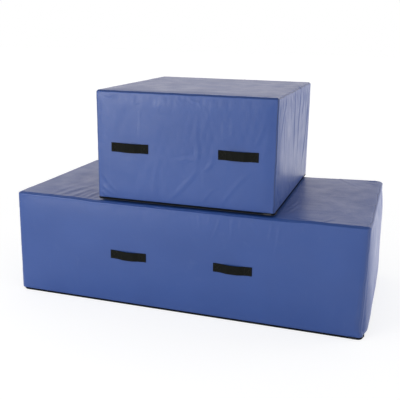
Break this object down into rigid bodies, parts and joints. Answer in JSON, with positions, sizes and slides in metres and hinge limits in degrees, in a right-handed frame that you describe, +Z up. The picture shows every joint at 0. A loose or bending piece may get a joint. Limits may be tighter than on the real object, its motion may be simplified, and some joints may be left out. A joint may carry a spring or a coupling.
{
  "type": "spotting block",
  "caption": "Stack of a long and a square foam spotting block in zipped vinyl covers, with webbing carry handles.",
  "frame": {"origin": "on the floor, under the middle of the stack's bounding box", "axes": "+X along the long block towards the end where the zip sliders are parked, +Y from the front to the back, +Z up"},
  "size_m": [2, 1.05, 1.2003],
  "materials": {
    "blue_vinyl": "satin",
    "black_vinyl": "matte",
    "black_webbing": "matte",
    "zip_tape": "matte",
    "zip_coil": "satin",
    "zip_metal": "satin",
    "soft_foam": "matte",
    "firm_foam": "matte"
  },
  "bodies": {
    "lower_block": {"lower_base_board": "firm_foam", "lower_top_board": "firm_foam", "lower_bottom_core_slab": "soft_foam", "lower_middle_core_slab": "soft_foam", "lower_top_core_slab": "soft_foam", "lower_front_panel": "blue_vinyl", "lower_back_panel": "blue_vinyl", "lower_right_end_panel": "blue_vinyl", "lower_left_end_panel": "blue_vinyl", "lower_top_panel": "blue_vinyl", "lower_base_panel": "black_vinyl", "lower_cover_zip_tape": "zip_tape", "lower_base_zip_tape": "zip_tape", "lower_cover_zip_coil": "zip_coil", "lower_base_zip_coil": "zip_coil", "lower_left_zip_stop": "zip_metal", "lower_right_zip_stop": "zip_metal", "lower_front_left_handle": "black_webbing", "lower_front_left_handle_backing": "black_vinyl", "lower_front_right_handle": "black_webbing", "lower_front_right_handle_backing": "black_vinyl", "lower_back_left_handle": "black_webbing", "lower_back_left_handle_backing": "black_vinyl", "lower_back_right_handle": "black_webbing", "lower_back_right_handle_backing": "black_vinyl"},
    "lower_front_zip_slider": {"lower_front_zip_slider": "zip_metal"},
    "lower_front_zip_pull": {"lower_front_zip_pull": "zip_metal"},
    "lower_end_zip_slider": {"lower_end_zip_slider": "zip_metal"},
    "lower_end_zip_pull": {"lower_end_zip_pull": "zip_metal"},
    "upper_block": {"upper_base_board": "firm_foam", "upper_top_board": "firm_foam", "upper_bottom_core_slab": "soft_foam", "upper_middle_core_slab": "soft_foam", "upper_top_core_slab": "soft_foam", "upper_front_panel": "blue_vinyl", "upper_back_panel": "blue_vinyl", "upper_right_end_panel": "blue_vinyl", "upper_left_end_panel": "blue_vinyl", "upper_top_panel": "blue_vinyl", "upper_base_panel": "black_vinyl", "upper_cover_zip_tape": "zip_tape", "upper_base_zip_tape": "zip_tape", "upper_cover_zip_coil": "zip_coil", "upper_base_zip_coil": "zip_coil", "upper_left_zip_stop": "zip_metal", "upper_right_zip_stop": "zip_metal", "upper_front_left_handle": "black_webbing", "upper_front_left_handle_backing": "black_vinyl", "upper_front_right_handle": "black_webbing", "upper_front_right_handle_backing": "black_vinyl", "upper_back_left_handle": "black_webbing", "upper_back_left_handle_backing": "black_vinyl", "upper_back_right_handle": "black_webbing", "upper_back_right_handle_backing": "black_vinyl"},
    "upper_front_zip_slider": {"upper_front_zip_slider": "zip_metal"},
    "upper_front_zip_pull": {"upper_front_zip_pull": "zip_metal"},
    "upper_end_zip_slider": {"upper_end_zip_slider": "zip_metal"},
    "upper_end_zip_pull": {"upper_end_zip_pull": "zip_metal"}
  },
  "joints": [
    {"name": "upper_block_lift", "type": "slide", "parent": "lower_block", "child": "upper_block", "axis": [0, 0, 1], "range_m": [0, 0.75]},
    {"name": "lower_front_zip_slide", "type": "slide", "parent": "lower_block", "child": "lower_front_zip_slider", "axis": [-1, 0, 0], "range_m": [0, 1.892]},
    {"name": "lower_front_pull_flip", "type": "hinge", "parent": "lower_front_zip_slider", "child": "lower_front_zip_pull", "pos_m": [0.946, -0.5112, 0.0077], "axis": [0, 0, 1], "range_deg": [0, 180]},
    {"name": "lower_end_zip_slide", "type": "slide", "parent": "lower_block", "child": "lower_end_zip_slider", "axis": [0, 1, 0], "range_m": [0, 0.9057]},
    {"name": "lower_end_pull_flip", "type": "hinge", "parent": "lower_end_zip_slider", "child": "lower_end_zip_pull", "pos_m": [0.9902, -0.467, 0.0077], "axis": [0, 0, -1], "range_deg": [0, 180]},
    {"name": "upper_front_zip_slide", "type": "slide", "parent": "upper_block", "child": "upper_front_zip_slider", "axis": [-1, 0, 0], "range_m": [0, 0.936]},
    {"name": "upper_front_pull_flip", "type": "hinge", "parent": "upper_front_zip_slider", "child": "upper_front_zip_pull", "pos_m": [0.476, -0.4852, 0.608], "axis": [0, 0, 1], "range_deg": [0, 180]},
    {"name": "upper_end_zip_slide", "type": "slide", "parent": "upper_block", "child": "upper_end_zip_slider", "axis": [0, 1, 0], "range_m": [0, 0.9357]},
    {"name": "upper_end_pull_flip", "type": "hinge", "parent": "upper_end_zip_slider", "child": "upper_end_zip_pull", "pos_m": [0.5052, -0.456, 0.608], "axis": [0, 0, -1], "range_deg": [0, 180]}
  ]
}
